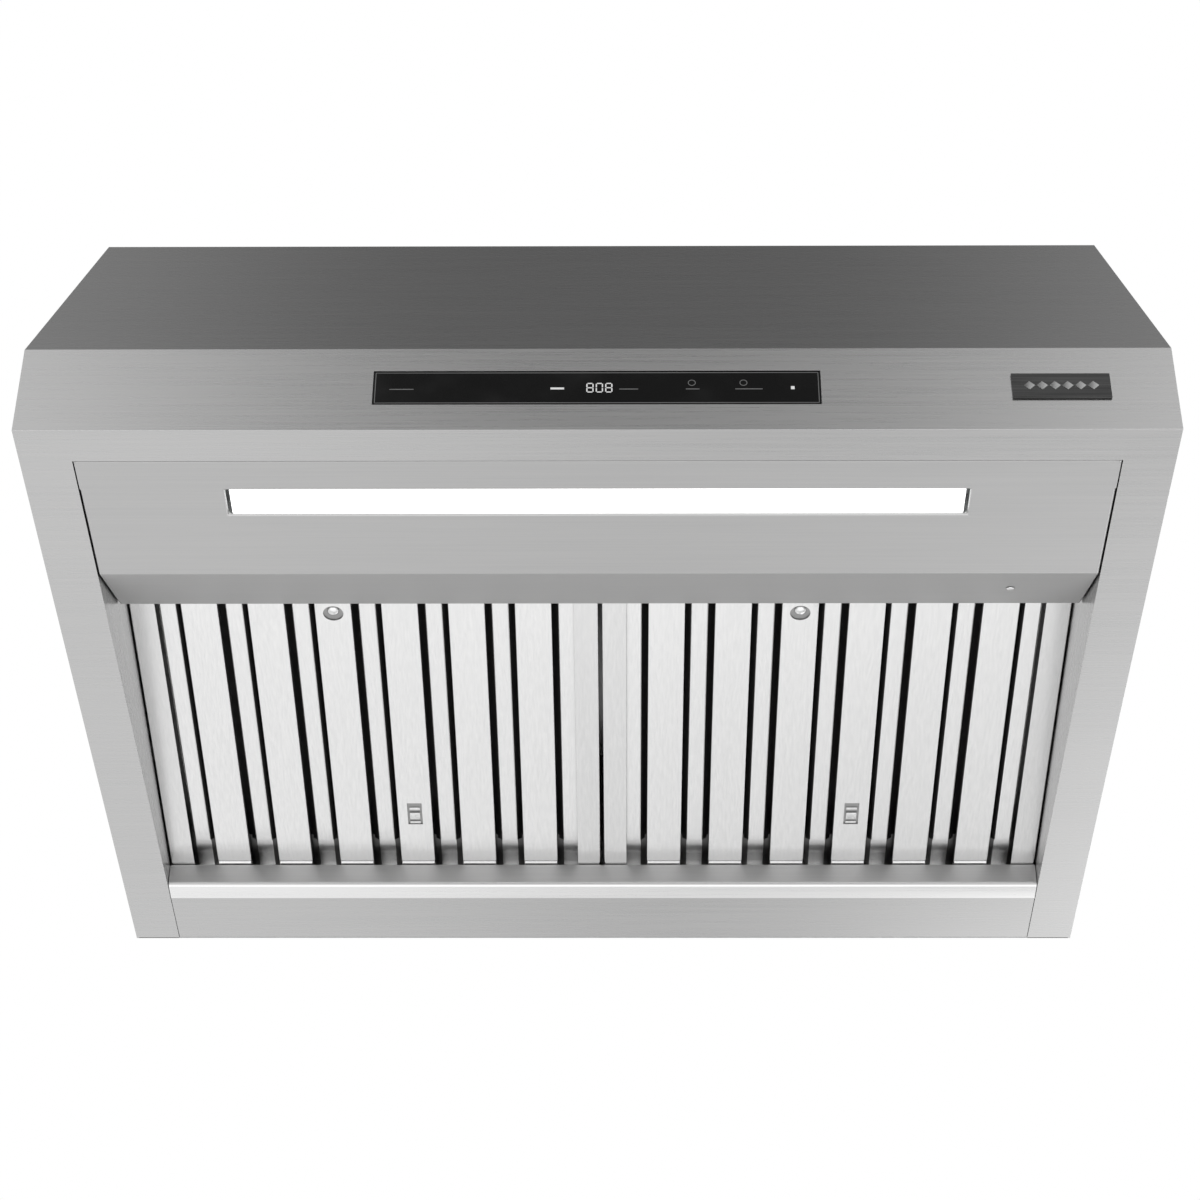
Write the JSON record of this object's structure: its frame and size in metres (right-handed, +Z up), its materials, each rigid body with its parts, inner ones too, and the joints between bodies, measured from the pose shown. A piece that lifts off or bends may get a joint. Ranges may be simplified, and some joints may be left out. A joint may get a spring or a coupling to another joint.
{
  "type": "under cabinet range hood",
  "caption": "Stainless under cabinet range hood with a sloped canopy, light bar, touch strip, hinged baffle filters, a blower and a round duct collar with backdraft flaps.",
  "frame": {"origin": "middle of the top rear edge, where the wall plane meets the cabinet's underside", "axes": "+X to the right seen from the front, +Y towards the wall, +Z up; the body lies at negative Y and Z, and the duct collar rises above Z = 0"},
  "size_m": [0.762, 0.6365, 0.401],
  "materials": {
    "brushed_steel": "brushed stainless, satin",
    "bright_steel": "bright brushed stainless",
    "galvanised_steel": "zinc-coated sheet, dull spangle",
    "sheet_aluminium": "mill finish",
    "black_glass": "gloss, back-printed black",
    "light_diffuser": "opal diffuser",
    "dark_badge": "dark satin plate with a blank face",
    "circuit_board": "green solder mask",
    "black_plastic": "moulded, fine texture",
    "grey_plastic": "moulded, satin",
    "motor_paint": "black enamel"
  },
  "bodies": {
    "hood": {"front_canopy": "brushed_steel", "side_panel_left": "brushed_steel", "side_panel_right": "brushed_steel", "rear_trim": "brushed_steel", "light_panel": "brushed_steel", "lip_screw": "bright_steel", "damper_pin": "bright_steel", "top_panel": "galvanised_steel", "back_panel": "galvanised_steel", "filter_rail": "galvanised_steel", "led_housing": "galvanised_steel", "control_bracket": "galvanised_steel", "blower_wrap": "galvanised_steel", "blower_cheek_left": "galvanised_steel", "blower_cheek_right": "galvanised_steel", "motor_bracket": "galvanised_steel", "duct_collar": "galvanised_steel", "collar_flange": "galvanised_steel", "junction_box": "galvanised_steel", "junction_cover": "galvanised_steel", "capacitor_clip": "galvanised_steel", "inlet_ring_left": "sheet_aluminium", "inlet_ring_right": "sheet_aluminium", "capacitor": "sheet_aluminium", "control_glass": "black_glass", "led_diffuser": "light_diffuser", "badge_plate": "dark_badge", "control_board": "circuit_board", "led_board": "circuit_board", "relay_board": "circuit_board", "relay_box": "black_plastic", "relay_cover": "black_plastic", "top_knockout_plug": "black_plastic", "wall_knockout_plug": "black_plastic", "led_driver": "grey_plastic", "terminal_block": "grey_plastic", "motor": "motor_paint"},
    "wheel": {"impeller": "galvanised_steel", "drive_shaft": "bright_steel"},
    "flap_left": {"damper_flap_left": "sheet_aluminium"},
    "flap_right": {"damper_flap_right": "sheet_aluminium"},
    "filter_left": {"filter_left_frame": "bright_steel", "filter_left_near_baffles": "bright_steel", "filter_left_far_baffles": "bright_steel"},
    "filter_right": {"filter_right_frame": "bright_steel", "filter_right_near_baffles": "bright_steel", "filter_right_far_baffles": "bright_steel"},
    "latch_left_front_body": {"latch_left_front": "bright_steel"},
    "latch_left_rear_body": {"latch_left_rear": "bright_steel"},
    "latch_right_front_body": {"latch_right_front": "bright_steel"},
    "latch_right_rear_body": {"latch_right_rear": "bright_steel"}
  },
  "joints": [
    {"name": "impeller_spin", "type": "hinge", "parent": "hood", "child": "wheel", "pos_m": [0, -0.195, -0.151], "axis": [1, 0, 0], "continuous": true},
    {"name": "damper_left_swing", "type": "hinge", "parent": "hood", "child": "flap_left", "pos_m": [0, -0.135, 0.01], "axis": [0, 1, 0], "range_deg": [0, 75]},
    {"name": "damper_right_swing", "type": "hinge", "parent": "hood", "child": "flap_right", "pos_m": [0, -0.135, 0.01], "axis": [0, -1, 0], "range_deg": [0, 75]},
    {"name": "filter_left_drop", "type": "hinge", "parent": "hood", "child": "filter_left", "pos_m": [-0.1715, -0.08, -0.3352], "axis": [1, 0, 0], "range_deg": [0, 70]},
    {"name": "filter_right_drop", "type": "hinge", "parent": "hood", "child": "filter_right", "pos_m": [0.1715, -0.08, -0.3352], "axis": [1, 0, 0], "range_deg": [0, 70]},
    {"name": "latch_left_front_slide", "type": "slide", "parent": "filter_left", "child": "latch_left_front_body", "axis": [0, 0.9912, -0.1323], "range_m": [0, 0.005], "stiffness_N_per_m": 200, "springref_m": -0.003},
    {"name": "latch_left_rear_slide", "type": "slide", "parent": "filter_left", "child": "latch_left_rear_body", "axis": [0, -0.9912, 0.1323], "range_m": [0, 0.005], "stiffness_N_per_m": 200, "springref_m": -0.003},
    {"name": "latch_right_front_slide", "type": "slide", "parent": "filter_right", "child": "latch_right_front_body", "axis": [0, 0.9912, -0.1323], "range_m": [0, 0.005], "stiffness_N_per_m": 200, "springref_m": -0.003},
    {"name": "latch_right_rear_slide", "type": "slide", "parent": "filter_right", "child": "latch_right_rear_body", "axis": [0, -0.9912, 0.1323], "range_m": [0, 0.005], "stiffness_N_per_m": 200, "springref_m": -0.003}
  ]
}
